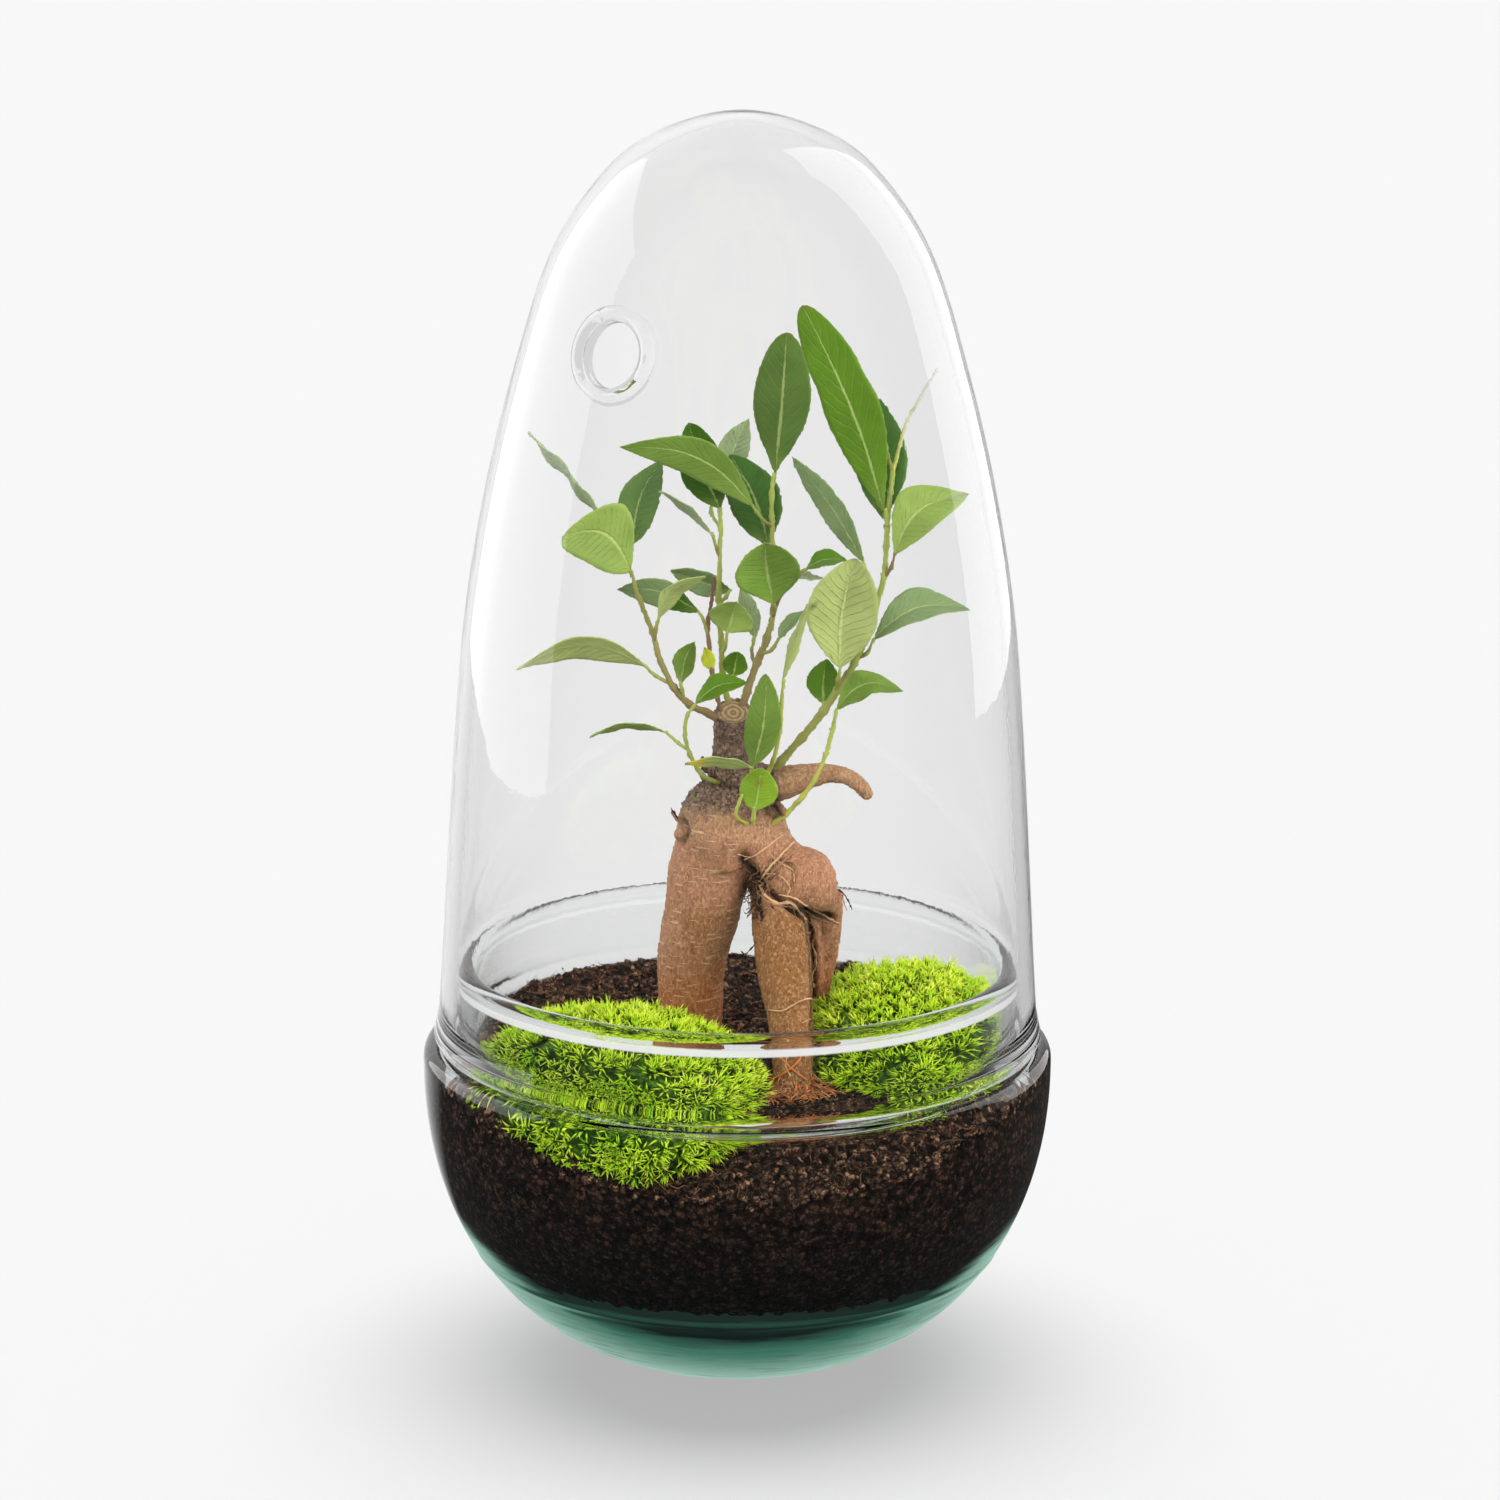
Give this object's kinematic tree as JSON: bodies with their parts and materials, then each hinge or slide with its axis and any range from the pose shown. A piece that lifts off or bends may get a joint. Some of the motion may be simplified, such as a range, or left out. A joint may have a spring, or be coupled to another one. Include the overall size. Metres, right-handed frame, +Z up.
{
  "type": "glass plant terrarium",
  "caption": "Egg-shaped two-part glass terrarium, a bowl with a lift-off dome and vent hole, holding a ginseng ficus in dark soil with moss cushions.",
  "frame": {"origin": "middle of the bowl's flat foot, on the surface it stands on", "axes": "+Z up through the crown of the dome, -Y towards the front of the terrarium, +X to the right seen from the front"},
  "size_m": [0.1504, 0.1504, 0.3],
  "materials": {
    "clear_glass": "clear blown glass, polished, green in the thick base",
    "potting_soil": "moist crumbly potting soil with fibres",
    "bark": "brown ficus bark with pale pores",
    "leaf_green": "waxy living leaf with pale midrib",
    "moss_green": "bright fine moss"
  },
  "bodies": {
    "root": {"glass_bowl": "clear_glass", "glass_dome": "clear_glass", "soil": "potting_soil", "ficus_trunk": "bark", "leafy_stem_left": "leaf_green", "leafy_shoot_left": "leaf_green", "leafy_shoot_front": "leaf_green", "leafy_shoot_low": "leaf_green", "leafy_stem_right": "leaf_green", "leafy_shoot_right": "leaf_green", "leafy_stem_middle": "leaf_green", "leafy_shoot_middle": "leaf_green", "leafy_stem_back": "leaf_green", "leafy_shoot_back": "leaf_green", "moss_left": "moss_green", "moss_right": "moss_green"}
  },
  "joints": []
}
